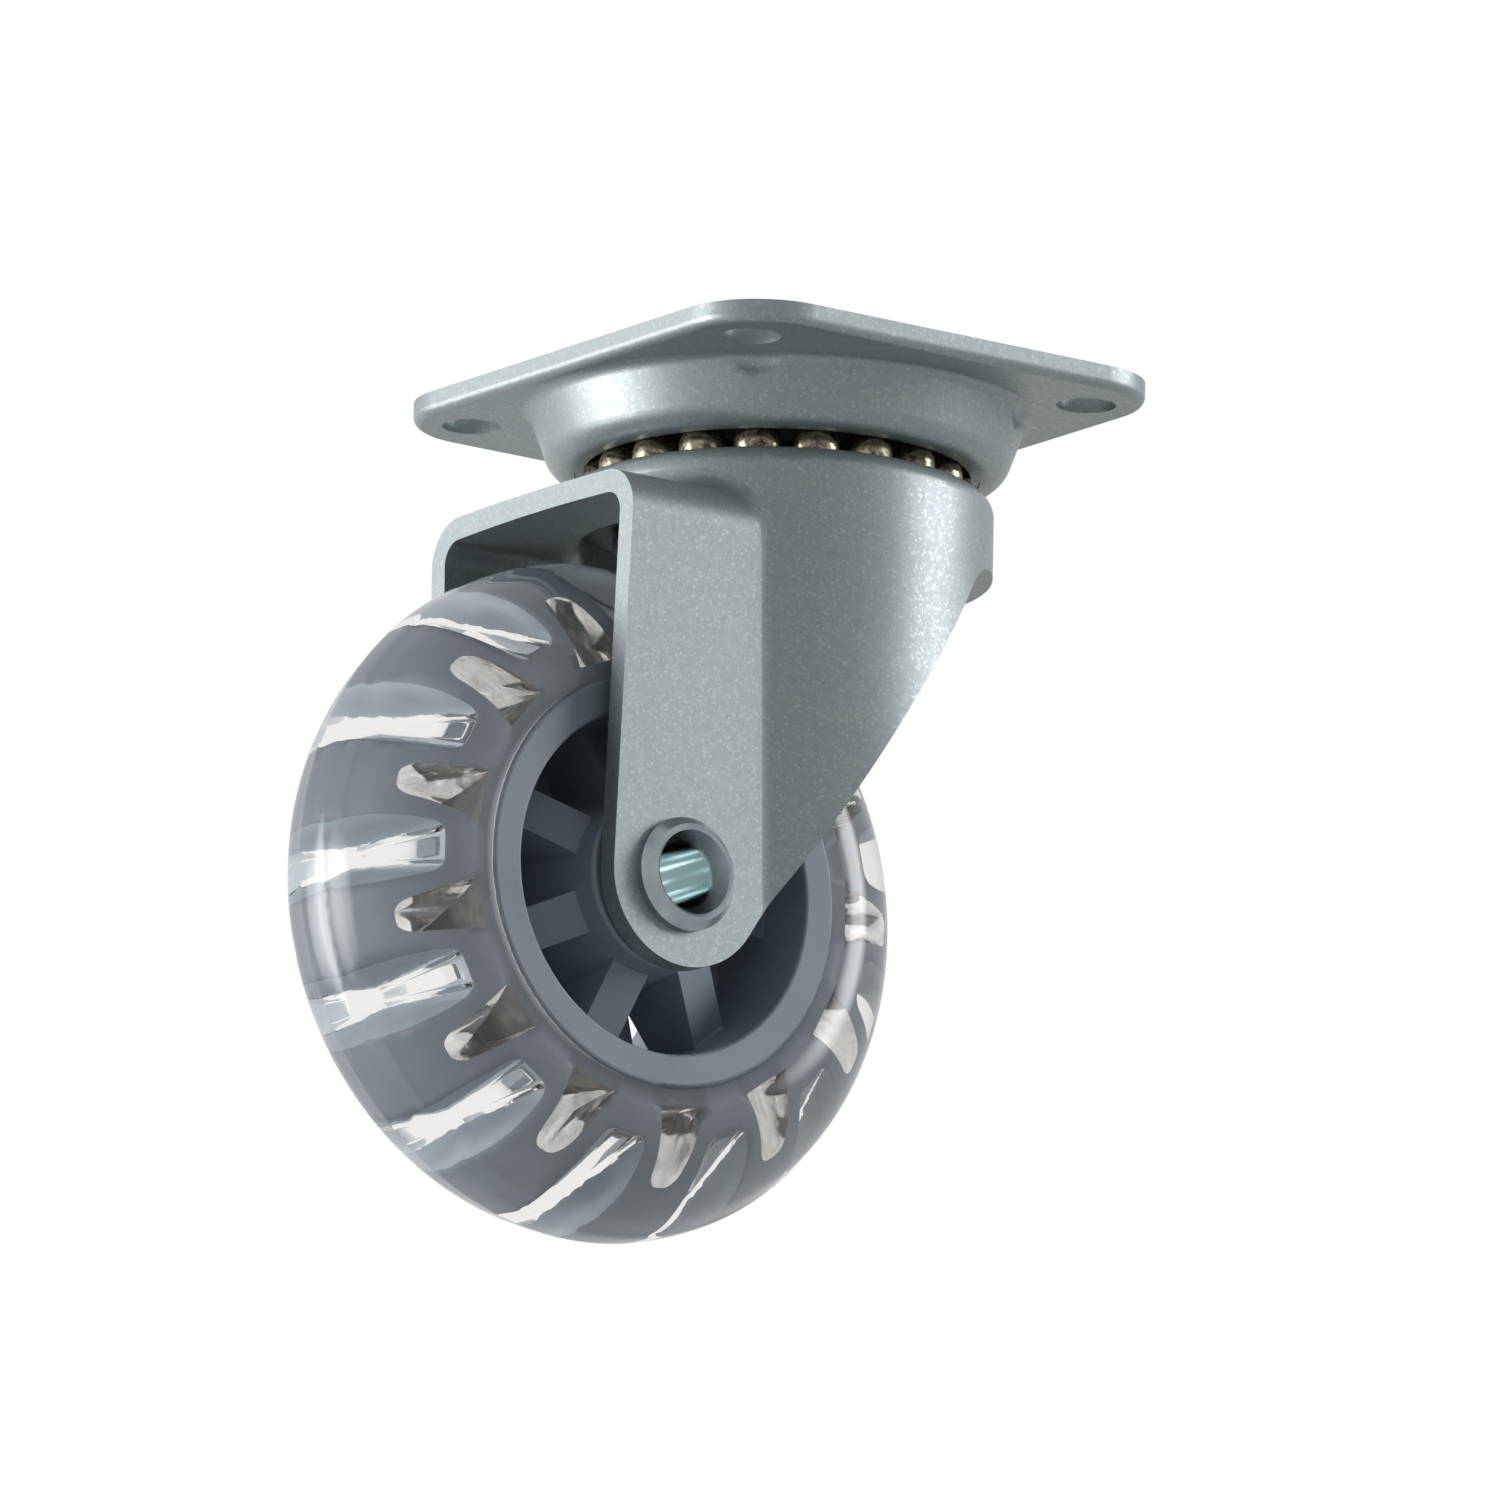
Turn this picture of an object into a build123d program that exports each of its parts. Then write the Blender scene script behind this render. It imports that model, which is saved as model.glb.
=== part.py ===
from build123d import *
from math import asin, atan2, cos, pi, radians, sin, sqrt, tan
import os

# A swivel plate caster with a clear tyre, in millimetres.
# The origin lies on the swivel axis in the mounting face of the top plate.
# +Z points up, the wheel trails towards -X, and the axle runs along Y.

# Sheet steel
PLATE_T = 2.5
FORK_T = 2.5

# Top plate outline and bolt holes
PLATE_X = 59.7
PLATE_Y = 67.8
PLATE_CORNER_R = 9.5
PLATE_EDGE_R = 1.0
HOLE_PITCH_X = 45.9
HOLE_PITCH_Y = 51.9
HOLE_R = 3.3
BOLT_CLEAR_R = 8.0

# Heights down the swivel axis, each from the one above
DISH_FLOOR_Z = -9.4
DISH_LIP_Z = DISH_FLOOR_Z - 0.2
UPPER_BALL_Z = DISH_FLOOR_Z - 1.4
CUP_TOP_Z = UPPER_BALL_Z - 0.8
ROOF_Z = CUP_TOP_Z - 5.4
SKIRT_BOTTOM_Z = CUP_TOP_Z - 9.0
LOWER_BALL_Z = CUP_TOP_Z - FORK_T - 1.1
RACE_WASHER_TOP_Z = LOWER_BALL_Z - 1.5

# Upper ball race, between the plate and the fork
UPPER_BALL_R = 2.75
UPPER_PITCH_R = 18.9
UPPER_SPACE = 0.7
UPPER_COUNT = int(pi / asin((UPPER_BALL_R + UPPER_SPACE / 2) / UPPER_PITCH_R))
BALL_CLEAR = 0.1

# Dish pressed down in the plate
DISH_LIP_INNER_R = UPPER_PITCH_R + UPPER_BALL_R + 0.75
DISH_TOP_R = DISH_LIP_INNER_R + 5.2
DISH_WALL_LEAN = 20.0
DISH_LIP_R = 3.0
DISH_SHOULDER_R = 1.4
SCOOP_EDGE_R = 2.0

# Lower ball race, between the fork and the race washer
LOWER_BALL_R = 2.0
LOWER_PITCH_R = 11.5
LOWER_SPACE = 0.2
LOWER_COUNT = int(pi / asin((LOWER_BALL_R + LOWER_SPACE / 2) / LOWER_PITCH_R))
RACE_WASHER_R = 18.0
RACE_WASHER_T = 1.8

# Kingpin
KINGPIN_R = 5.0
KINGPIN_HEAD_R = 7.5
KINGPIN_HEAD_T = 2.5
FORK_HOLE_CLEAR = 1.2

# Fork cup around the swivel axis
CUP_R = UPPER_PITCH_R + UPPER_BALL_R + 2.35
CUP_EDGE_R = 2.3
SKIRT_BLEND_R = 6.0
LEG_BLEND_R = 2.5

# Wheel core
WHEEL_R = 37.5
RING_OUTER_R = 22.9
RING_INNER_R = 19.2
RING_MID_R = 18.3
RING_HALF = 14.0
RING_EDGE_R = 0.4
HUB_R = 9.9
HUB_MID_R = 11.3
HUB_HALF = 14.3
HUB_EDGE_R = 0.5
SPOKES = 7
SPOKE_W = 4.8
SPOKE_HUB_Y = 11.0
SPOKE_RING_Y = 7.0
SPOKE_LAP = 0.6

# Wheel position
TRAIL = 24.3
WHEEL_TOP_GAP = 4.65
AXLE_DROP = FORK_T - ROOF_Z + WHEEL_TOP_GAP + WHEEL_R
WHEEL = Pos(-TRAIL, 0, -AXLE_DROP)

# Fork roof and legs
HUB_SIDE_GAP = 0.6
LEG_AXLE_HALF = HUB_HALF + HUB_SIDE_GAP + FORK_T
LEG_TOP_HALF = LEG_AXLE_HALF + 1.5
LEG_BULGE_R = 21.6
LEG_END_R = 10.0
LEG_END_FORWARD = 0.7
LEG_FRONT_ANGLE = 58.0
ROOF_CROWN = 0.4
ROOF_CORNER_R = 5.0
ROOF_TRAIL_X = -33.0

# Axle: a hollow rivet in a spacer sleeve
AXLE_BORE_R = 3.6
AXLE_R = 4.8
AXLE_HEAD_R = 6.3
AXLE_HEAD_H = 2.3
AXLE_CREST_R = 5.0
SLEEVE_T = 1.2
SLEEVE_CLEAR = 0.05
AXLE_RUN_CLEAR = 0.1

# Clear tyre and the grey band inside it
TYRE_HALF = 14.1
TYRE_SIDE_R = 25.0
TYRE_POWER = 1.8
TYRE_LIP_R = 0.4
BAND_HALF = TYRE_HALF - 1.0
BAND_R = WHEEL_R - 3.4
SLOTS = 13
SLOT_TURN = 0.5
SLOT_INNER_R = 24.8
SLOT_OUTER_R = 32.4
SLOT_INNER_W = 5.9
SLOT_OUTER_W = 4.0
SLOT_CORNER_R = 1.5
SLOT_DRAFT = 3.0
NOTCH_INNER_R = 27.9
NOTCH_INNER_W = 5.6
NOTCH_OUTER_R = WHEEL_R + 3
NOTCH_OUTER_W = 16.6
NOTCH_CORNER_R = 2.0
NOTCH_DRAFT = 6.0


def turned(points):
    """A face in the XZ plane through the given (radius, z) points, for turning about Z."""
    return make_face(Polyline(*[(r, 0, z) for r, z in points], close=True))


def ring_of(radius, z, wire_r):
    """A round ring about Z, as the path that a ball sweeps."""
    return Pos(0, 0, z) * Torus(radius, wire_r)


# Top plate: a pressed sheet, as the solid under the die less the solid over the punch
def dish_wall(z, inset):
    """The dish wall's radius at a height, moved inwards through the sheet by inset."""
    lean = radians(DISH_WALL_LEAN)
    return DISH_TOP_R + (z + PLATE_T) * sin(lean) / cos(lean) - inset / cos(lean)


def plate_blank():
    blank = RectangleRounded(PLATE_X, PLATE_Y, PLATE_CORNER_R)
    blank = extrude(Pos(0, 0, -PLATE_T) * blank, PLATE_T)
    return fillet(blank.faces().sort_by(Axis.Z)[0].edges(), PLATE_EDGE_R)


def hole_places():
    return [
        (x * HOLE_PITCH_X / 2, y * HOLE_PITCH_Y / 2)
        for x in (-1, 1)
        for y in (-1, 1)
    ]


def scoops(radius):
    """Room for a bolt head and washer round each hole, from the plate's face down."""
    return [
        Pos(x, y, -PLATE_T) * Cylinder(radius, 20, align=(Align.CENTER, Align.CENTER, Align.MAX))
        for x, y in hole_places()
    ]


def top_plate():
    blank = plate_blank()
    under = turned([
        (0, 0),
        (DISH_TOP_R, 0),
        (DISH_TOP_R, -PLATE_T),
        (dish_wall(DISH_LIP_Z, 0), DISH_LIP_Z),
        (DISH_LIP_INNER_R, DISH_LIP_Z),
        (DISH_LIP_INNER_R, DISH_FLOOR_Z),
        (0, DISH_FLOOR_Z),
    ])
    lip = under.vertices().sort_by(Axis.Z)[0:2].sort_by(Axis.X)[-1]
    under = fillet(lip, DISH_LIP_R)
    body = blank + revolve(under, Axis.Z)
    for scoop in scoops(BOLT_CLEAR_R):
        body -= scoop
    scoop_walls = body.faces().filter_by(
        lambda f: f.geom_type == GeomType.CYLINDER and abs(f.radius - BOLT_CLEAR_R) < 0.01
    )
    body = fillet(
        [edge for edge in scoop_walls.edges() if edge.bounding_box().min.Z < -PLATE_T - 0.1],
        SCOOP_EDGE_R,
    )
    foot = [
        edge
        for edge in body.edges()
        if edge.bounding_box().min.Z > -PLATE_T - 0.01
        and edge.bounding_box().max.Z < -PLATE_T + 0.01
        and (edge @ 0.5).X ** 2 + (edge @ 0.5).Y ** 2 < (DISH_TOP_R + 1) ** 2
    ]
    body = fillet(foot, DISH_SHOULDER_R)
    body -= ring_of(UPPER_PITCH_R, UPPER_BALL_Z, UPPER_BALL_R + BALL_CLEAR)

    floor = DISH_FLOOR_Z + PLATE_T
    over = turned([
        (0, 0),
        (dish_wall(0, PLATE_T), 0),
        (dish_wall(floor, PLATE_T), floor),
        (0, floor),
    ])
    hollow = revolve(over, Axis.Z)
    mouth = Pos(0, 0, 1) * Cylinder(DISH_TOP_R + 8, 2)
    mouth_ring = hollow + mouth
    rim = mouth_ring.edges().filter_by(GeomType.CIRCLE).filter_by(
        lambda e: abs(e.radius - dish_wall(0, PLATE_T)) < 0.01
    )
    hollow = fillet(rim, PLATE_T + DISH_SHOULDER_R)
    for scoop in scoops(BOLT_CLEAR_R + PLATE_T):
        hollow -= scoop
    hollow -= ring_of(UPPER_PITCH_R, UPPER_BALL_Z, UPPER_BALL_R + BALL_CLEAR + PLATE_T)
    body -= hollow
    body -= Cylinder(KINGPIN_R, 60)
    for x, y in hole_places():
        body -= Pos(x, y, 0) * Cylinder(HOLE_R, 10)
    return body


def kingpin():
    head_top = RACE_WASHER_TOP_Z - RACE_WASHER_T
    floor_top = DISH_FLOOR_Z + PLATE_T
    profile = turned([
        (0, head_top - KINGPIN_HEAD_T),
        (KINGPIN_HEAD_R, head_top - KINGPIN_HEAD_T),
        (KINGPIN_HEAD_R, head_top),
        (KINGPIN_R, head_top),
        (KINGPIN_R, floor_top),
        (KINGPIN_HEAD_R, floor_top),
        (KINGPIN_HEAD_R, floor_top + KINGPIN_HEAD_T),
        (0, floor_top + KINGPIN_HEAD_T),
    ])
    outer = profile.vertices().filter_by_position(Axis.X, KINGPIN_HEAD_R - 0.1, KINGPIN_HEAD_R + 0.1)
    profile = fillet([outer.sort_by(Axis.Z)[0], outer.sort_by(Axis.Z)[-1]], KINGPIN_HEAD_T * 0.7)
    return revolve(profile, Axis.Z)


def race_washer():
    washer = Pos(0, 0, RACE_WASHER_TOP_Z) * Cylinder(
        RACE_WASHER_R, RACE_WASHER_T, align=(Align.CENTER, Align.CENTER, Align.MAX)
    )
    washer = fillet(washer.edges().filter_by(GeomType.CIRCLE), RACE_WASHER_T * 0.3)
    bead = ring_of(LOWER_PITCH_R, LOWER_BALL_Z, LOWER_BALL_R + BALL_CLEAR + RACE_WASHER_T)
    under = Pos(0, 0, RACE_WASHER_TOP_Z) * Cylinder(
        RACE_WASHER_R, 20, align=(Align.CENTER, Align.CENTER, Align.MAX)
    )
    washer += bead & under
    washer -= ring_of(LOWER_PITCH_R, LOWER_BALL_Z, LOWER_BALL_R + BALL_CLEAR)
    washer -= Cylinder(KINGPIN_R, 60)
    return washer


def ball(index, count, pitch_r, z, radius):
    angle = radians(360 * index / count)
    return Pos(pitch_r * cos(angle), pitch_r * sin(angle), z) * Sphere(radius)


# Fork: one pressed sheet, as the outer form less the same form inset by the sheet
def leg_half(z, inset):
    """Half the fork's width over the legs' outer faces, which lean in towards the axle."""
    slope = (LEG_TOP_HALF - LEG_AXLE_HALF) / (AXLE_DROP + ROOF_Z)
    return LEG_TOP_HALF - slope * (ROOF_Z - z) - inset


def cup_radius(z, inset):
    """The cup's radius, upright in the skirt and drawn in a little further down the legs."""
    slope = (CUP_R - LEG_BULGE_R) / (AXLE_DROP + SKIRT_BOTTOM_Z)
    return CUP_R - slope * max(SKIRT_BOTTOM_Z - z, 0) - inset


def fork_form(inset):
    """The fork's solid envelope, drawn in by inset on every side."""
    foot = -AXLE_DROP - LEG_END_R - 5
    roof = ROOF_Z - inset
    half_roof = leg_half(ROOF_Z, inset)
    half_foot = leg_half(foot, inset)
    outline = Polyline((half_roof, roof), (half_foot, foot), (-half_foot, foot), (-half_roof, roof))
    crown = ThreePointArc((-half_roof, roof), (0, roof + ROOF_CROWN), (half_roof, roof))
    section = make_face(outline + crown)
    shoulders = section.vertices().sort_by(Axis.Y)[-2:]
    section = fillet(shoulders, max(ROOF_CORNER_R - inset, 0.5))
    front = 2.0
    rear = ROOF_TRAIL_X - 8
    channel = Pos(rear, 0, 0) * extrude(Plane.YZ * section, front - rear)
    cup = revolve(turned([
        (0, CUP_TOP_Z - inset),
        (cup_radius(0, inset), CUP_TOP_Z - inset),
        (cup_radius(0, inset), SKIRT_BOTTOM_Z),
        (cup_radius(foot, inset), foot),
        (0, foot),
    ]), Axis.Z)
    form = channel + cup
    seams = [
        edge
        for edge in form.edges()
        if edge.geom_type not in (GeomType.LINE, GeomType.CIRCLE)
        and edge.bounding_box().max.X < -10
        and edge.bounding_box().min.X > -CUP_R - 0.5
    ]
    form = fillet(seams, LEG_BLEND_R)
    if inset == 0:
        top = form.edges().filter_by(GeomType.CIRCLE).sort_by(Axis.Z)[-1]
        form = fillet(top, CUP_EDGE_R)
    return form


def fork_side():
    """The fork's outline seen from the side, as a block across its whole width."""
    end_x = -TRAIL + LEG_END_FORWARD
    end_z = -AXLE_DROP
    to_roof = atan2(ROOF_Z - end_z, ROOF_TRAIL_X - end_x)
    reach = sqrt((ROOF_TRAIL_X - end_x) ** 2 + (ROOF_Z - end_z) ** 2)
    rear = to_roof + pi / 2 - asin(LEG_END_R / reach)
    front = radians(LEG_FRONT_ANGLE - 90)
    low = (rear + front - 2 * pi) / 2 + pi if rear < 0 else (rear + front + 2 * pi) / 2

    def on_end(angle):
        return (end_x + LEG_END_R * cos(angle), 0, end_z + LEG_END_R * sin(angle))

    foot = on_end(front)
    rise = SKIRT_BOTTOM_Z - foot[2]
    corner = (foot[0] + rise / tan(radians(LEG_FRONT_ANGLE)), 0, SKIRT_BOTTOM_Z)
    head = CUP_TOP_Z + 5
    far = CUP_R + 5
    lines = Polyline(
        on_end(rear),
        (ROOF_TRAIL_X, 0, ROOF_Z),
        (ROOF_TRAIL_X, 0, head),
        (far, 0, head),
        (far, 0, SKIRT_BOTTOM_Z),
        corner,
        foot,
    )
    side = make_face(lines + ThreePointArc(on_end(rear), on_end(low), foot))
    bend = side.vertices().sort_by_distance(corner)[0]
    side = fillet(bend, SKIRT_BLEND_R)
    return extrude(side, 60, both=True)


def fork():
    sheet = fork_form(0) - fork_form(FORK_T)
    sheet = sheet & fork_side()
    sheet -= ring_of(UPPER_PITCH_R, UPPER_BALL_Z, UPPER_BALL_R + BALL_CLEAR)
    bead = ring_of(UPPER_PITCH_R, UPPER_BALL_Z, UPPER_BALL_R + BALL_CLEAR + FORK_T)
    under = Pos(0, 0, CUP_TOP_Z - 1) * Cylinder(
        CUP_R - FORK_T, 20, align=(Align.CENTER, Align.CENTER, Align.MAX)
    )
    race = ring_of(UPPER_PITCH_R, UPPER_BALL_Z, UPPER_BALL_R + BALL_CLEAR)
    sheet += (bead & under) - race
    sheet -= ring_of(LOWER_PITCH_R, LOWER_BALL_Z, LOWER_BALL_R + BALL_CLEAR)
    sheet -= Cylinder(KINGPIN_R + FORK_HOLE_CLEAR, 60)
    sheet -= Pos(-TRAIL, 0, -AXLE_DROP) * Rot(90, 0, 0) * Cylinder(AXLE_R, 60)
    return sheet


# Axle: a tube flared over the legs at both ends, with a sleeve that keeps the legs apart
def axle_rivet():
    """The rivet's tube and heads, each head formed against the leg's leaning face."""
    seat = leg_half(-AXLE_DROP, 0)
    under = leg_half(-AXLE_DROP, FORK_T / 2)
    crest = seat + AXLE_HEAD_H
    profile = turned([
        (AXLE_BORE_R, 0),
        (AXLE_BORE_R, seat),
        (AXLE_CREST_R - 0.3, crest - 0.2),
        (AXLE_CREST_R, crest),
        (AXLE_CREST_R + 0.4, crest - 0.2),
        (AXLE_HEAD_R, seat + 0.9),
        (AXLE_HEAD_R, under),
        (AXLE_R, under),
        (AXLE_R, 0),
    ])
    end = revolve(profile, Axis.Z)
    whole = end + Rot(180, 0, 0) * end
    return WHEEL * Rot(90, 0, 0) * whole


def axle_sleeve():
    """The sleeve, its ends cut to the legs' inner faces."""
    bore = AXLE_R + SLEEVE_CLEAR
    length = 2 * leg_half(-AXLE_DROP, FORK_T / 2)
    tube = Cylinder(bore + SLEEVE_T, length) - Cylinder(bore, length)
    return WHEEL * Rot(90, 0, 0) * tube


# Wheel, drawn about Z and then laid on the axle
def crowned(half, outer_r, inner_r, lip_r):
    """A ring with the crowned section of the tyre, its inner lip rounded by lip_r."""
    steps = 7
    points = []
    for i in range(steps + 1):
        angle = pi / 2 * i / steps
        r = TYRE_SIDE_R + (outer_r - TYRE_SIDE_R) * sin(angle) ** (2 / TYRE_POWER)
        points.append((r, 0, half * cos(angle) ** (2 / TYRE_POWER)))
    points = [(r, 0, max(z, 0)) for r, _, z in points]
    curve = Spline(*points, tangents=[(1, 0, 0), (0, 0, -1)])
    side = Polyline(points[0], (inner_r, 0, half), (inner_r, 0, 0), points[-1])
    section = make_face(curve + side)
    lip = section.vertices().sort_by_distance((inner_r, 0, half))[0]
    half_ring = revolve(fillet(lip, lip_r), Axis.Z)
    return half_ring + mirror(half_ring, Plane.XY)


def tapered(round_r, round_half, sharp_r, sharp_half, corner_r, draft):
    """A cutter with two rounded corners, as wide as given at the tyre's sides and narrower within."""
    outlines = []
    for z in (0, TYRE_HALF):
        drawn_in = (TYRE_HALF - z) * tan(radians(draft))
        out = 1 if sharp_r < round_r else -1
        face = make_face(Polyline(
            (round_r - out * drawn_in, -round_half + drawn_in, z),
            (sharp_r, -sharp_half + drawn_in, z),
            (sharp_r, sharp_half - drawn_in, z),
            (round_r - out * drawn_in, round_half - drawn_in, z),
            close=True,
        ))
        corners = face.vertices().sort_by(lambda v: abs(v.X - round_r))[0:2]
        outlines.append(fillet(corners, corner_r - drawn_in / 2))
    side = loft(outlines, ruled=True)
    return side + mirror(side, Plane.XY)


def slot_cutter():
    return tapered(
        SLOT_OUTER_R, SLOT_OUTER_W / 2, SLOT_INNER_R, SLOT_INNER_W / 2, SLOT_CORNER_R, SLOT_DRAFT
    )


def notch_cutter():
    return tapered(
        NOTCH_INNER_R, NOTCH_INNER_W / 2, NOTCH_OUTER_R, NOTCH_OUTER_W / 2, NOTCH_CORNER_R, NOTCH_DRAFT
    )


def spoke(sign):
    """A spoke from the middle plane out, its face falling from the hub to the ring."""
    side = make_face(Polyline(
        (HUB_R - 1, 0, -sign * SPOKE_LAP),
        (HUB_R - 1, 0, sign * SPOKE_HUB_Y),
        (HUB_R, 0, sign * SPOKE_HUB_Y),
        (RING_MID_R, 0, sign * SPOKE_RING_Y),
        (RING_MID_R + 1.5, 0, sign * SPOKE_RING_Y),
        (RING_MID_R + 1.5, 0, -sign * SPOKE_LAP),
        close=True,
    ))
    return extrude(side, SPOKE_W / 2, both=True)


def wheel_core():
    band = crowned(BAND_HALF, BAND_R, RING_OUTER_R - 1, RING_EDGE_R)
    ring = turned([
        (RING_INNER_R, RING_HALF),
        (RING_OUTER_R, RING_HALF),
        (RING_OUTER_R, 0),
        (RING_MID_R, 0),
    ])
    ring = revolve(fillet(ring.vertices().sort_by(Axis.Z)[-2:], RING_EDGE_R), Axis.Z)
    cuts = [Rot(0, 0, SLOT_TURN + 360 / SLOTS * k) * slot_cutter() for k in range(SLOTS)]
    cuts += [Rot(0, 0, SLOT_TURN + 360 / SLOTS * (k + 0.5)) * notch_cutter() for k in range(SLOTS)]
    bore = AXLE_R + SLEEVE_CLEAR + SLEEVE_T + AXLE_RUN_CLEAR
    hub = turned([
        (bore, 0),
        (bore, HUB_HALF),
        (HUB_R, HUB_HALF),
        (HUB_R, SPOKE_HUB_Y),
        (HUB_MID_R, 0),
    ])
    hub = revolve(fillet(hub.vertices().sort_by(Axis.Z)[-2:], HUB_EDGE_R), Axis.Z)
    core = band + ring + mirror(ring, Plane.XY)
    core -= cuts
    core += hub + mirror(hub, Plane.XY)
    for k in range(SPOKES):
        core += Rot(0, 0, 360 / SPOKES * k) * spoke(1)
        core += Rot(0, 0, 360 / SPOKES * (k + 0.5)) * spoke(-1)
    return core


def laid(wheel_part):
    """Lays a part drawn about Z on the axle, its +Z side towards -Y."""
    return WHEEL * Rot(90, 0, 0) * wheel_part


def build():
    fork_sheet = fork()
    core = laid(wheel_core())
    parts = {
        "top_plate": top_plate(),
        "kingpin": kingpin(),
        "race_washer": race_washer(),
        "fork": fork_sheet,
        "axle_rivet": axle_rivet() - fork_sheet,
        "axle_sleeve": axle_sleeve() - fork_sheet,
        "wheel_core": core,
        "tyre": laid(crowned(TYRE_HALF, WHEEL_R, RING_OUTER_R, TYRE_LIP_R)) - core,
    }
    for i in range(UPPER_COUNT):
        parts[f"upper_ball_{i + 1:02d}"] = ball(
            i, UPPER_COUNT, UPPER_PITCH_R, UPPER_BALL_Z, UPPER_BALL_R
        )
    for i in range(LOWER_COUNT):
        parts[f"lower_ball_{i + 1:02d}"] = ball(
            i, LOWER_COUNT, LOWER_PITCH_R, LOWER_BALL_Z, LOWER_BALL_R
        )
    return parts


if __name__ == "__main__":
    os.makedirs("parts", exist_ok=True)
    for name, shape in build().items():
        export_step(shape, f"parts/{name}.step")
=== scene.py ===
import math

import bmesh
import bpy
import numpy as np
from mathutils import Matrix, Vector


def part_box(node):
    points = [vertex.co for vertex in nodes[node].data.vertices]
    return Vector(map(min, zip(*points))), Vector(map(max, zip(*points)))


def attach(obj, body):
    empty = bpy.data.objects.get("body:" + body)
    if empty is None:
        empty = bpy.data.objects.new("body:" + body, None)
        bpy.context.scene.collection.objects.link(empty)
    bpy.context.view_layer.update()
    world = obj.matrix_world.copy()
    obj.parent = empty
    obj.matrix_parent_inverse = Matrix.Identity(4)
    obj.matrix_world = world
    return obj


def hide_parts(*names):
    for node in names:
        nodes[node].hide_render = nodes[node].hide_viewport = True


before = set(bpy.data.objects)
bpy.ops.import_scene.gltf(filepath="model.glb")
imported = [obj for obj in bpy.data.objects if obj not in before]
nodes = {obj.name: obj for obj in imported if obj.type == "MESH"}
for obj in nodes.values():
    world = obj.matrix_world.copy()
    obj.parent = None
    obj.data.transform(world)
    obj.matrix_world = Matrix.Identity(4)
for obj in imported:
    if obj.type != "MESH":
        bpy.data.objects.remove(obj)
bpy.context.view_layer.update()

# Top plate. A rectangle of 2.5 mm sheet steel, with a dish pressed down in its middle and a scoop
# beside each bolt hole. It is powder coated after pressing: a silver-grey polyester with fine
# aluminium flake, half matt, with tiny bright points and the faint waves of orange peel.
MM = 0.001
COAT_GREY = "#9ba5a6"
COAT_SHADE = "#959fa1"
# Paler flakes: partly the aluminium's own colour, partly a painted highlight.
FLAKE_GREY_AND_GLINT = "#b4bcbd"
FLAKE_SIZE = 0.26 * MM  # ten times the real flakes, which are too fine to show
MOTTLE_SIZE = 0.9 * MM
PEEL_SIZE = 1.8 * MM


def linear(hex_colour):
    """An sRGB hex colour as linear RGBA. A channel c above the knee at 0.04045 becomes
    ((c + 0.055) / 1.055) ** 2.4, and one below it c / 12.92."""
    channels = [int(hex_colour[i:i + 2], 16) / 255 for i in (1, 3, 5)]
    return tuple(
        c / 12.92 if c <= 0.04045 else ((c + 0.055) / 1.055) ** 2.4 for c in channels
    ) + (1.0,)


def new_material(name):
    """A material and its node tree, empty."""
    made = bpy.data.materials.new(name)
    made.use_nodes = True
    made.node_tree.nodes.clear()
    return made, made.node_tree


def add(tree, kind, settings=None, **inputs):
    """Adds a node, sets its properties, and gives each input a value or a link. An input goes by
    its name, with _ for a space, or by i and its number."""
    node = tree.nodes.new("ShaderNode" + kind)
    for name, value in (settings or {}).items():
        setattr(node, name, value)
    for name, value in inputs.items():
        key = int(name[1:]) if name[1:].isdigit() else name.replace("_", " ")
        if isinstance(value, bpy.types.NodeSocket):
            tree.links.new(value, node.inputs[key])
        else:
            node.inputs[key].default_value = value
    return node


def powder_coat():
    """Grey binder mottled by how thick it lies, and in a few cells paler flakes: partly their own
    colour, partly a painted highlight.
    """
    made, tree = new_material("silver_powder_coat")
    place = add(tree, "TexCoord").outputs["Object"]
    cells = add(tree, "TexVoronoi", Vector=place, Scale=1 / FLAKE_SIZE)
    flake = add(tree, "SeparateColor", Color=cells.outputs["Color"]).outputs["Red"]
    mottle = add(tree, "TexNoise", Vector=place, Scale=1 / MOTTLE_SIZE, Detail=3.0)
    thick = add(tree, "MapRange", Value=mottle.outputs["Fac"], From_Min=0.35, From_Max=0.65)
    binder = add(
        tree, "Mix", {"data_type": "RGBA"},
        i0=thick.outputs["Result"], i6=linear(COAT_SHADE), i7=linear(COAT_GREY),
    )
    # In a few cells the colour goes paler: partly the flakes' own colour, partly a painted
    # highlight.
    flake_tone_and_glint = add(tree, "MapRange", Value=flake, From_Min=0.8, To_Max=0.7)
    colour = add(
        tree, "Mix", {"data_type": "RGBA"},
        i0=flake_tone_and_glint.outputs["Result"], i6=binder.outputs[2], i7=linear(FLAKE_GREY_AND_GLINT),
    )
    rough = add(tree, "MapRange", Value=flake, From_Min=0.6, To_Min=0.42, To_Max=0.34)
    peel = add(tree, "TexNoise", Vector=place, Scale=1 / PEEL_SIZE, Detail=2.0)
    wavy = add(tree, "Bump", Height=peel.outputs["Fac"], Strength=0.15, Distance=0.06 * MM)
    grain = add(
        tree, "Bump", Height=flake, Strength=0.05, Distance=0.02 * MM,
        Normal=wavy.outputs["Normal"],
    )
    skin = add(
        tree, "BsdfPrincipled", Base_Color=colour.outputs[2], Metallic=0.45,
        Roughness=rough.outputs["Result"], Specular_IOR_Level=0.4,
        Normal=grain.outputs["Normal"],
    )
    add(tree, "OutputMaterial", Surface=skin.outputs["BSDF"])
    return made


def give(node, material):
    """Puts one material on a node's object."""
    mesh = nodes[node].data
    mesh.materials.clear()
    mesh.materials.append(material)


SILVER_COAT = powder_coat()
give("top_plate", SILVER_COAT)

# Kingpin and race washer. The kingpin is a mild steel rivet, headed over inside the dish, and it
# clamps the pressed race washer that carries the lower balls under the fork. Both are greased.


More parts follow.
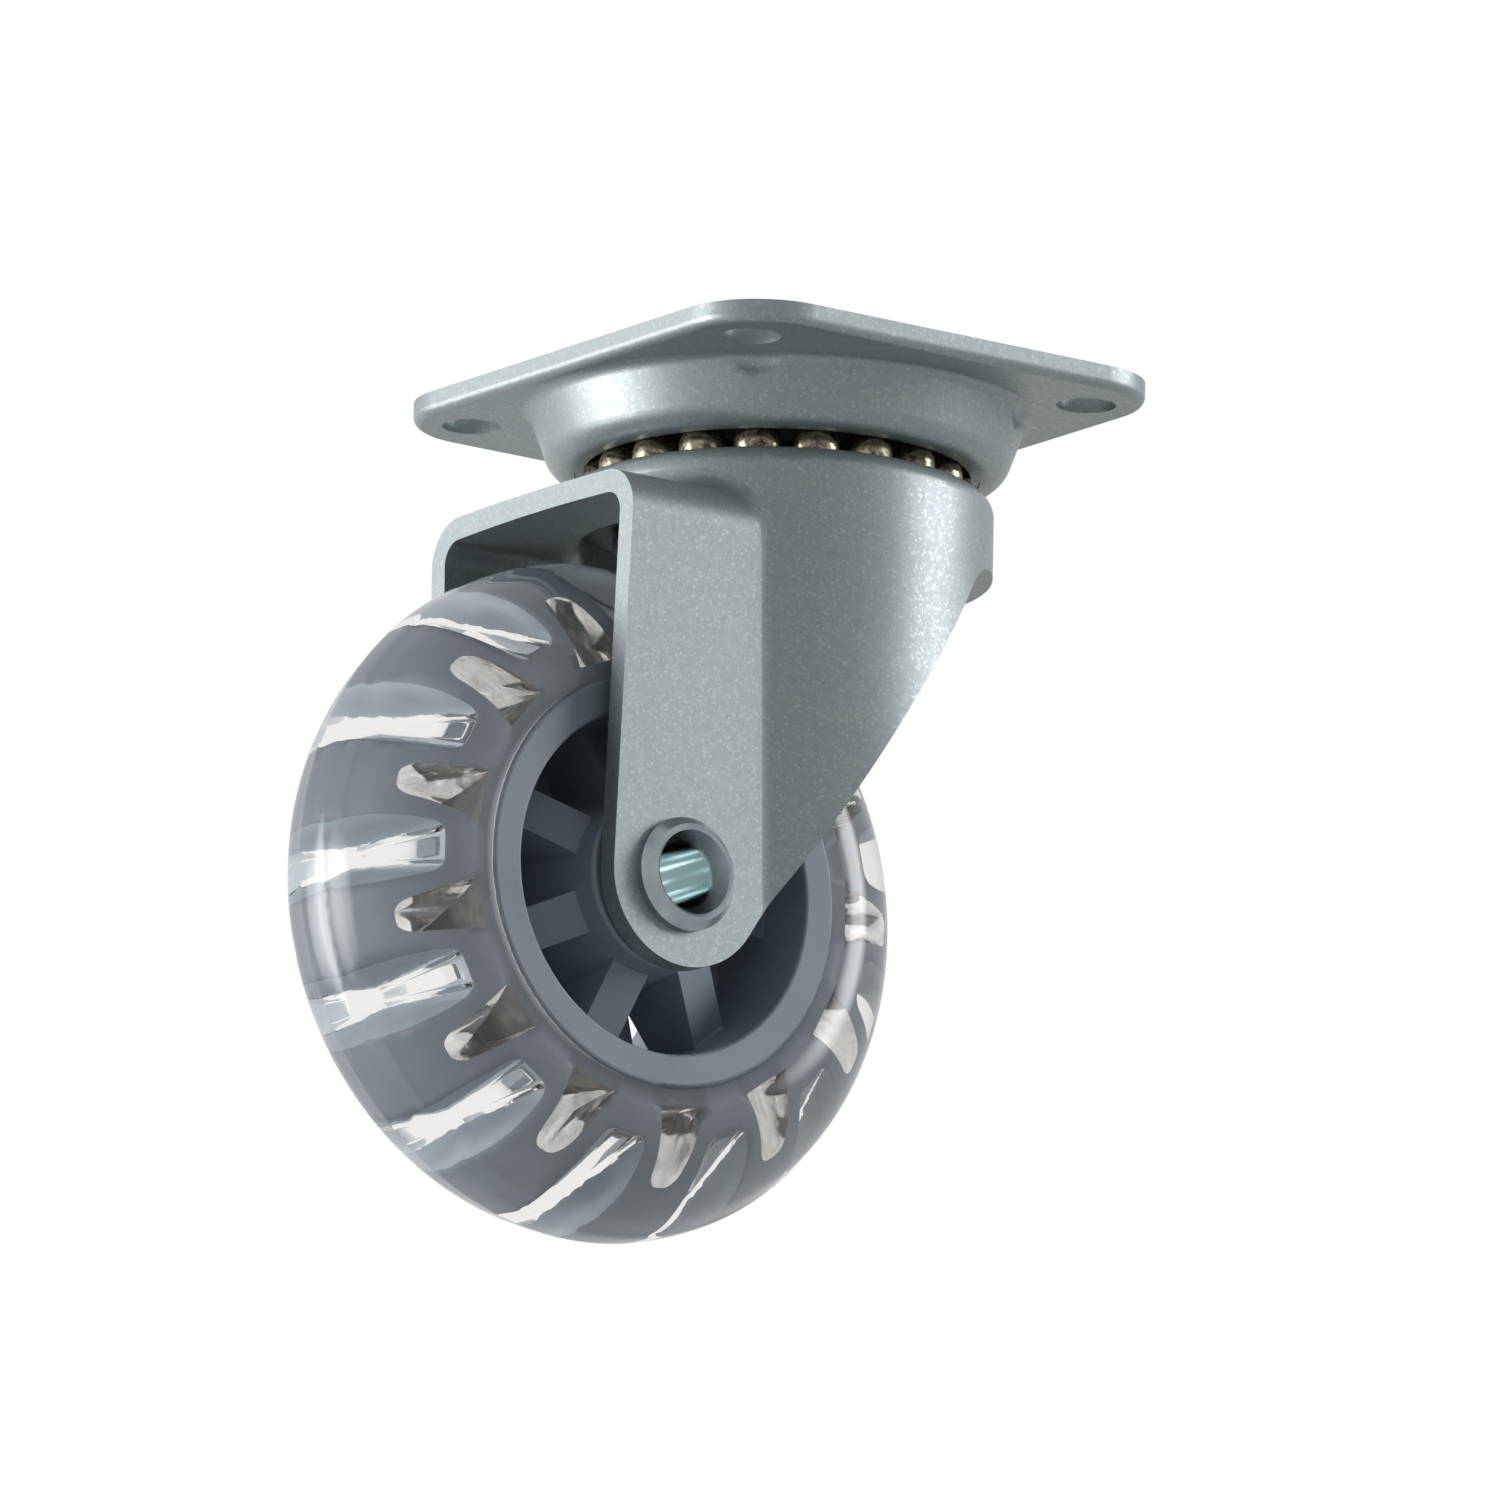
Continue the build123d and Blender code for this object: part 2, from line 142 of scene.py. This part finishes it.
def greased_steel(name, clean_hex, grease_hex, smear):
    """Steel with smears of grease, about as wide as smear: a mirror where it is wiped clean, and
    rough, darker and less like metal where the grease lies thick."""
    made, tree = new_material(name)
    place = add(tree, "TexCoord").outputs["Object"]
    film = add(
        tree, "TexNoise", Vector=place, Scale=1 / smear, Detail=6.0, Roughness=0.65,
    ).outputs["Fac"]
    grease = add(tree, "MapRange", Value=film, From_Min=0.42, From_Max=0.62).outputs["Result"]
    colour = add(
        tree, "Mix", {"data_type": "RGBA"},
        i0=grease, i6=linear(clean_hex), i7=linear(grease_hex),
    )
    metal = add(tree, "MapRange", Value=grease, To_Min=1.0, To_Max=0.35)
    rough = add(tree, "MapRange", Value=grease, To_Min=0.18, To_Max=0.5)
    bump = add(tree, "Bump", Height=film, Strength=0.25, Distance=0.1 * MM)
    skin = add(
        tree, "BsdfPrincipled", Base_Color=colour.outputs[2], Metallic=metal.outputs["Result"],
        Roughness=rough.outputs["Result"], Normal=bump.outputs["Normal"],
    )
    add(tree, "OutputMaterial", Surface=skin.outputs["BSDF"])
    return made


give("race_washer", greased_steel("greased_race_steel", "#8b8678", "#4b3c28", smear=5 * MM))
give("kingpin", greased_steel("rivet_steel", "#a9aeb0", "#7c7b74", smear=7 * MM))

# Balls. Two rings of hardened steel balls, loose in their races with no cage and packed in brown
# bearing grease, which lies on them in smears between bare bright spots.
BALL_STEEL = greased_steel("greased_ball_steel", "#a49c86", "#2b2116", smear=1.2 * MM)
for name in nodes:
    if name.startswith(("upper_ball", "lower_ball")):
        give(name, BALL_STEEL)

# Fork. One pressing of 2.5 mm sheet, cropped along its edges and coated like the plate. It is a
# cup for the balls, a short roof over the wheel and two legs that lean in to the axle.
give("fork", SILVER_COAT)

# Axle. A tubular steel rivet in bright blue-white zinc plate, with its ends rolled over the legs,
# and a steel sleeve plated like it, which keeps the legs apart and on which the wheel turns.
ZINC_PALE = "#a3abae"
ZINC_DARK = "#8d989d"
# Painted light: the paler colour inside the tube.
BORE_PAINTED_LIGHT = "#dfe9ea"
BORE_ROUGHNESS = 0.12
CLOUD_SIZE = 3 * MM
BORE_R = 3.6 * MM
BORE_FADE = (BORE_R + 0.05 * MM, BORE_R + 0.2 * MM)  # from the bore's painted light to the satin head
RIVET_LOW, RIVET_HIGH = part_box("axle_rivet")
RIVET_MIDDLE = (RIVET_LOW + RIVET_HIGH) / 2


def zinc_plate():
    """Clouded satin on the rolled heads, and smooth inside the tube, with a paler colour there
    that is painted light for the light going from wall to wall. The bore is told by its distance
    from the axle's line."""
    made, tree = new_material("blue_white_zinc_plate")
    place = add(tree, "TexCoord").outputs["Object"]
    offset = add(tree, "VectorMath", {"operation": "SUBTRACT"}, i0=place, i1=RIVET_MIDDLE)
    sideways = add(
        tree, "VectorMath", {"operation": "MULTIPLY"}, i0=offset.outputs["Vector"], i1=(1, 0, 1),
    )
    radius = add(tree, "VectorMath", {"operation": "LENGTH"}, i0=sideways.outputs["Vector"])
    bore = add(
        tree, "MapRange", Value=radius.outputs["Value"],
        From_Min=BORE_FADE[0], From_Max=BORE_FADE[1], To_Min=1.0, To_Max=0.0,
    ).outputs["Result"]
    cloud = add(
        tree, "TexNoise", Vector=place, Scale=1 / CLOUD_SIZE, Detail=4.0,
    ).outputs["Fac"]
    dark = add(tree, "MapRange", Value=cloud, From_Min=0.35, From_Max=0.65)
    satin = add(
        tree, "Mix", {"data_type": "RGBA"},
        i0=dark.outputs["Result"], i6=linear(ZINC_PALE), i7=linear(ZINC_DARK),
    )
    # Painted light: the bore takes the paler colour.
    colour = add(
        tree, "Mix", {"data_type": "RGBA"},
        i0=bore, i6=satin.outputs[2], i7=linear(BORE_PAINTED_LIGHT),
    )
    satin_rough = add(
        tree, "MapRange", Value=cloud, From_Min=0.3, From_Max=0.7, To_Min=0.20, To_Max=0.36,
    )
    rough = add(
        tree, "MapRange", Value=bore,
        To_Min=satin_rough.outputs["Result"], To_Max=BORE_ROUGHNESS,
    )
    bump = add(tree, "Bump", Height=cloud, Strength=0.1, Distance=0.05 * MM)
    skin = add(
        tree, "BsdfPrincipled", Base_Color=colour.outputs[2], Metallic=1.0,
        Roughness=rough.outputs["Result"], Normal=bump.outputs["Normal"],
    )
    add(tree, "OutputMaterial", Surface=skin.outputs["BSDF"])
    return made


ZINC = zinc_plate()
give("axle_rivet", ZINC)
give("axle_sleeve", ZINC)

# Wheel core. One grey nylon moulding: hub, spokes, side rings and the slotted band that carries
# the tyre. Its mould was spark eroded, which leaves an even fine grain, and it is half matt.
GRAIN_SIZE = 0.35 * MM  # three times the real grain, which is too fine to show
DRIFT_SIZE = 8 * MM


def nylon(name, dark_hex, pale_hex):
    """Grained nylon whose colour drifts a little between two shades, as a moulding's does."""
    made, tree = new_material(name)
    place = add(tree, "TexCoord").outputs["Object"]
    grain = add(
        tree, "TexNoise", Vector=place, Scale=1 / GRAIN_SIZE, Detail=2.0,
    ).outputs["Fac"]
    drift = add(tree, "TexNoise", Vector=place, Scale=1 / DRIFT_SIZE, Detail=2.0)
    pale = add(tree, "MapRange", Value=drift.outputs["Fac"], From_Min=0.3, From_Max=0.7)
    colour = add(
        tree, "Mix", {"data_type": "RGBA"},
        i0=pale.outputs["Result"], i6=linear(dark_hex), i7=linear(pale_hex),
    )
    rough = add(
        tree, "MapRange", Value=grain, From_Min=0.3, From_Max=0.7, To_Min=0.42, To_Max=0.55,
    )
    bump = add(tree, "Bump", Height=grain, Strength=0.2, Distance=0.03 * MM)
    skin = add(
        tree, "BsdfPrincipled", Base_Color=colour.outputs[2],
        Roughness=rough.outputs["Result"], Normal=bump.outputs["Normal"],
    )
    add(tree, "OutputMaterial", Surface=skin.outputs["BSDF"])
    return made


give("wheel_core", nylon("grey_nylon", "#939fa8", "#9ca8b1"))

# Tyre. Clear polyurethane cast over the band, which it locks to through the slots and notches.
# Where it is bonded, the grey nylon shows through it. On the notches' floors and in most of each
# slot it has shrunk off by a few hundredths of a millimetre, and the film of air there shines.
TYRE_LOW, TYRE_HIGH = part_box("tyre")
HUB = (TYRE_LOW + TYRE_HIGH) / 2
WHEEL_R = (TYRE_HIGH.z - TYRE_LOW.z) / 2
TYRE_HALF = (TYRE_HIGH.y - TYRE_LOW.y) / 2
BAND_R = WHEEL_R - 3.4 * MM
BAND_HALF = TYRE_HALF - 1.0 * MM
SIDE_R = 25.0 * MM  # where the crowns of the tyre and the band begin
CROWN_POWER = 1.8
SEAT_R = 22.9 * MM  # the tyre's bore, where it sits on the core's rings
SEAT_CORNER_R = SEAT_R + 0.01 * MM
SEAT_INNER_R = SEAT_R + 0.02 * MM
# The painted shade at the seat reaches this far.
SEAT_SHADE_R = SEAT_R + 0.15 * MM
SLOTS = 13
SLOT_TURN = 0.5  # degrees
SLOT_FOOT_R = SIDE_R - 0.6 * MM
NOTCH_TOP_R = 29.8 * MM  # a notch's floor and its round corners are inside this radius
SHRINKAGE = 0.05 * MM
JOIN_GAP = 0.001 * MM
CREASE_ANGLE = math.radians(30)

# What tells the tyre's inner faces apart: limits on their shares of the two crowns, on how far
# they look round the wheel or at the axle, and on their place between two slots.
INNER_CORNER = 0.98
INNER_FACE = 0.9
CUT_OUT_FACE = 0.93
SIDE_WALL_LOOK = 0.4
FLOOR_LOOK = 0.8
QUARTER_PITCH = 0.25
CLEAR_GLASS, SLOT_WALL, NOTCH_WALL, BONDED_FACE, SEAT_FACE = range(5)

LAMPLIGHT_THROUGH = "#e8eaea"
DEPTH_TINT = "#c4c2bc"
DEPTH_DENSITY = 14.0  # per metre
# In the rest of each slot, pale cream patches are painted light, for the light seen through the
# slot.
SLOT_PAINTED_LIGHT = "#ded9ce"
SLOT_PAINTED_LIGHT_SHARE = 0.2
PAINTED_LIGHT_SPREAD = 0.1
PATCH_SIZE = 1.5 * MM


def joined_copy(node):
    """A copy of a node's mesh with its loose triangles joined at their corners."""
    mesh = nodes[node].data.copy()
    whole = bmesh.new()
    whole.from_mesh(mesh)
    bmesh.ops.remove_doubles(whole, verts=whole.verts, dist=JOIN_GAP)
    whole.to_mesh(mesh)
    whole.free()
    return mesh


def vectors(items, name):
    """A named vector of each corner or face, as rows of three."""
    values = np.empty(len(items) * 3, np.float32)
    items.foreach_get(name, values)
    return values.reshape(-1, 3)


def from_hub(places):
    """Places as their distances from the hub's middle, across, along and up, and their radius."""
    x, y, z = places.T
    across, along, up = x - HUB.x, y - HUB.y, z - HUB.z
    return across, along, up, np.hypot(across, up)


def crown_share(r, along, outer_r, half):
    """One on a crowned face: its height over SIDE_R and its distance from the middle plane, each
    as a share of the largest and to the power CROWN_POWER, added up."""
    height = np.clip((r - SIDE_R) / (outer_r - SIDE_R), 0, None)
    return height ** CROWN_POWER + (np.abs(along) / half) ** CROWN_POWER


def shrink_from_band(mesh):
    """Moves each corner inside the outer crown back along its normal by SHRINKAGE."""
    places = vectors(mesh.vertices, "co")
    _, along, _, r = from_hub(places)
    inner = crown_share(r, along, WHEEL_R, TYRE_HALF) < INNER_CORNER
    inner |= r < SEAT_CORNER_R
    places -= vectors(mesh.vertices, "normal") * SHRINKAGE * inner[:, None]
    mesh.vertices.foreach_set("co", places.ravel())


def bond_to_band(mesh):
    """Gives each face its kind. The turn about the axle, as a share of the pitch, is nought at a
    slot's middle and a half at a notch's. A face's look outward is its normal along the radius,
    and its look round the wheel is its normal across the radius."""
    across, along, up, r = from_hub(vectors(mesh.polygons, "center"))
    look_across, _, look_up = vectors(mesh.polygons, "normal").T
    outward = (look_across * across + look_up * up) / r
    round_wheel = np.abs(look_up * across - look_across * up) / r
    turn = np.degrees(np.arctan2(up, across)) - SLOT_TURN
    pitch_share = np.abs((turn * SLOTS / 360 + 0.5) % 1 - 0.5)
    inner = crown_share(r, along, WHEEL_R, TYRE_HALF) < INNER_FACE
    inner |= r < SEAT_INNER_R
    cut_out = crown_share(r, along, BAND_R, BAND_HALF) < CUT_OUT_FACE
    cut_out |= round_wheel > SIDE_WALL_LOOK
    in_notch = pitch_share > QUARTER_PITCH
    slot_wall = cut_out & (pitch_share < QUARTER_PITCH) & (r > SLOT_FOOT_R)
    notch_floor = inner & in_notch & (outward < -FLOOR_LOOK) & (r > SIDE_R) & (r < NOTCH_TOP_R)
    notch_wall = cut_out & in_notch & ~notch_floor
    kind = np.where(slot_wall, SLOT_WALL, np.where(notch_wall, NOTCH_WALL, BONDED_FACE))
    # Faces at the seat get painted shade.
    kind = np.where(r < SEAT_SHADE_R, SEAT_FACE, kind)
    kind = np.where(inner & ~notch_floor, kind, CLEAR_GLASS)
    mesh.polygons.foreach_set("material_index", kind.astype(np.int32))


def polyurethane(name, tint_hex, painted_light_share=0.0):
    """Clear glossy casting with a breath of amber: glass to the eye, though the lamps' light goes
    straight through it, and darker with depth. A painted light share is pale cream and dull, in
    patches: painted light for the light seen through a slot."""
    made, tree = new_material(name)
    glass = add(
        tree, "BsdfPrincipled", Base_Color=linear(tint_hex), Roughness=0.0, IOR=1.5,
        Transmission_Weight=1.0,
    )
    lit = add(tree, "BsdfTransparent", Color=linear(LAMPLIGHT_THROUGH))
    path = add(tree, "LightPath")
    pane = add(
        tree, "MixShader",
        i0=path.outputs["Is Shadow Ray"], i1=glass.outputs["BSDF"], i2=lit.outputs["BSDF"],
    )
    if painted_light_share:
        place = add(tree, "TexCoord").outputs["Object"]
        patch = add(tree, "TexNoise", Vector=place, Scale=1 / PATCH_SIZE, Detail=3.0)
        light_patch = add(
            tree, "MapRange", Value=patch.outputs["Fac"], From_Min=0.35, From_Max=0.65,
            To_Min=painted_light_share - PAINTED_LIGHT_SPREAD, To_Max=painted_light_share + PAINTED_LIGHT_SPREAD,
        )
        # Painted light: pale cream where light comes through the slot.
        wall = add(tree, "BsdfPrincipled", Base_Color=linear(SLOT_PAINTED_LIGHT), Roughness=0.5)
        pane = add(
            tree, "MixShader",
            i0=light_patch.outputs["Result"], i1=pane.outputs["Shader"], i2=wall.outputs["BSDF"],
        )
    depth = add(
        tree, "VolumeAbsorption", Color=linear(DEPTH_TINT), Density=DEPTH_DENSITY,
    )
    add(
        tree, "OutputMaterial",
        Surface=pane.outputs["Shader"], Volume=depth.outputs["Volume"],
    )
    return made


tyre_mesh = joined_copy("tyre")
shrink_from_band(tyre_mesh)
tyre_mesh.materials.clear()

# In the order of the kinds. Bonded nylon is deeper in colour, as if wet; at its seat between the
# rings it is darker still, with painted shade.
for material in (
    polyurethane("clear_polyurethane", "#fefdfb"),
    polyurethane("polyurethane_in_slot", "#f7f3ea", SLOT_PAINTED_LIGHT_SHARE),
    nylon("nylon_notch_wall", "#7f8b94", "#8f9aa3"),
    nylon("nylon_bonded_face", "#5e6770", "#6a737c"),
    nylon("nylon_seat_painted_shade", "#33393e", "#3d4348"),
):
    tyre_mesh.materials.append(material)
bond_to_band(tyre_mesh)
tyre_mesh.shade_smooth()
tyre_mesh.set_sharp_from_angle(angle=CREASE_ANGLE)
tyre = bpy.data.objects.new("tyre_moulding", tyre_mesh)
bpy.context.scene.collection.objects.link(tyre)
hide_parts("tyre")
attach(tyre, "wheel")

# Studio. A white room to the camera and to what shows through the tyre, a little dimmer where the
# metal mirrors it, with a large soft lamp on each side and a pale floor far below the caster.
CASTER_MIDDLE = Vector((-0.010, 0.0, -0.045))
MIRRORED_SHARE = 0.7
FILL_COLOUR = "#f4f7f9"
FILL_STRENGTH = 0.20
LAMP_MIDDLE = (0.5, 0.5, 0.0)  # in shares of its sides
LAMP_GLOW = 1.4  # at its middle
LAMP_FADE = (0.25, 0.5)  # this far from its middle
FLOOR_GREY = "#e6e6e6"
FLOOR_Z = -3.2
FLOOR_HALF = 60.0


def shown_white(tree):
    """How far a background shows as plain white: one to the camera and through the tyre, and
    MIRRORED_SHARE in a mirror."""
    path = add(tree, "LightPath")
    straight = add(
        tree, "Math", {"operation": "MAXIMUM"},
        i0=path.outputs["Is Camera Ray"], i1=path.outputs["Is Transmission Ray"],
    )
    mirrored = add(
        tree, "Math", {"operation": "MULTIPLY"},
        i0=path.outputs["Is Glossy Ray"], i1=MIRRORED_SHARE,
    )
    return add(
        tree, "Math", {"operation": "MAXIMUM"}, i0=straight.outputs[0], i1=mirrored.outputs[0],
    ).outputs[0]


def soft_lamp(name, place, size, power):
    """A square area lamp that faces the middle of the caster. It fades with the distance from its
    own middle, from LAMP_GLOW to nothing over LAMP_FADE."""
    data = bpy.data.lights.new(name, "AREA")
    data.size = size
    data.energy = power
    data.use_nodes = True
    tree = data.node_tree
    across = add(tree, "NewGeometry").outputs["Parametric"]
    off_middle = add(tree, "VectorMath", {"operation": "DISTANCE"}, i0=across, i1=LAMP_MIDDLE)
    glow = add(
        tree, "MapRange", Value=off_middle.outputs["Value"],
        From_Min=LAMP_FADE[0], From_Max=LAMP_FADE[1], To_Min=LAMP_GLOW, To_Max=0.0,
    )
    tree.links.new(glow.outputs["Result"], tree.nodes["Emission"].inputs["Strength"])
    lamp = bpy.data.objects.new(name, data)
    lamp.location = place
    lamp.rotation_euler = (CASTER_MIDDLE - Vector(place)).to_track_quat("-Z", "Y").to_euler()
    lamp.visible_transmission = False
    bpy.context.scene.collection.objects.link(lamp)


world = bpy.data.worlds.new("studio")
bpy.context.scene.world = world
world.use_nodes = True
room = world.node_tree
room.nodes.clear()
fill = add(room, "Background", Color=linear(FILL_COLOUR), Strength=FILL_STRENGTH)
white = add(room, "Background", Color=(1, 1, 1, 1), Strength=1.0)
both = add(room, "MixShader", i0=shown_white(room), i1=fill.outputs[0], i2=white.outputs[0])
add(room, "OutputWorld", Surface=both.outputs[0])

soft_lamp("left_lamp", (-1.60, 1.00, -0.15), size=1.8, power=62)
soft_lamp("right_lamp", (1.26, -0.83, 0.36), size=1.1, power=19)

floor_mesh = bpy.data.meshes.new("floor")
floor_mesh.from_pydata(
    [(x * FLOOR_HALF, y * FLOOR_HALF, FLOOR_Z) for x, y in ((-1, -1), (1, -1), (1, 1), (-1, 1))],
    [], [(0, 1, 2, 3)],
)
floor = bpy.data.objects.new("floor", floor_mesh)
bpy.context.scene.collection.objects.link(floor)
floor_paint, paint_tree = new_material("pale_floor")
paint = add(paint_tree, "BsdfDiffuse", Color=linear(FLOOR_GREY))
glow = add(paint_tree, "Emission", Color=(1, 1, 1, 1), Strength=1.0)
both = add(
    paint_tree, "MixShader",
    i0=shown_white(paint_tree), i1=paint.outputs[0], i2=glow.outputs[0],
)
add(paint_tree, "OutputMaterial", Surface=both.outputs[0])
floor_mesh.materials.append(floor_paint)

# Camera. A long lens, three metres away and below the plate, that looks up at the near side of the
# caster. It is turned a little about its own line, and its frame is off centre.
AZIMUTH = math.radians(-36.18)
ELEVATION = math.radians(-13.8)
ROLL = math.radians(1.17)
DISTANCE = 2.986
FOCAL_PIXELS = 27210.0
IMAGE_PIXELS = 1500.0
CENTRE_X = 697.37
CENTRE_Y = 776.04
SENSOR_MM = 36
back = Vector((
    math.sin(AZIMUTH) * math.cos(ELEVATION),
    -math.cos(AZIMUTH) * math.cos(ELEVATION),
    math.sin(ELEVATION),
))
level = Vector((0, 0, 1)).cross(back).normalized()
upright = back.cross(level)
right = math.cos(ROLL) * level + math.sin(ROLL) * upright
up = -math.sin(ROLL) * level + math.cos(ROLL) * upright
side_step = (IMAGE_PIXELS / 2 - CENTRE_X) / FOCAL_PIXELS * DISTANCE
rise_step = (CENTRE_Y - IMAGE_PIXELS / 2) / FOCAL_PIXELS * DISTANCE
spot = CASTER_MIDDLE + back * DISTANCE + right * side_step + up * rise_step
camera_data = bpy.data.cameras.new("camera")
camera_data.sensor_width = SENSOR_MM
camera_data.lens = FOCAL_PIXELS / IMAGE_PIXELS * SENSOR_MM
camera_data.clip_start = 0.1
camera_data.clip_end = 200
camera = bpy.data.objects.new("camera", camera_data)
bpy.context.scene.collection.objects.link(camera)
bpy.context.scene.camera = camera
camera.matrix_world = Matrix((
    (right.x, up.x, back.x, spot.x),
    (right.y, up.y, back.y, spot.y),
    (right.z, up.z, back.z, spot.z),
    (0, 0, 0, 1),
))
bpy.context.scene.view_settings.view_transform = "Standard"
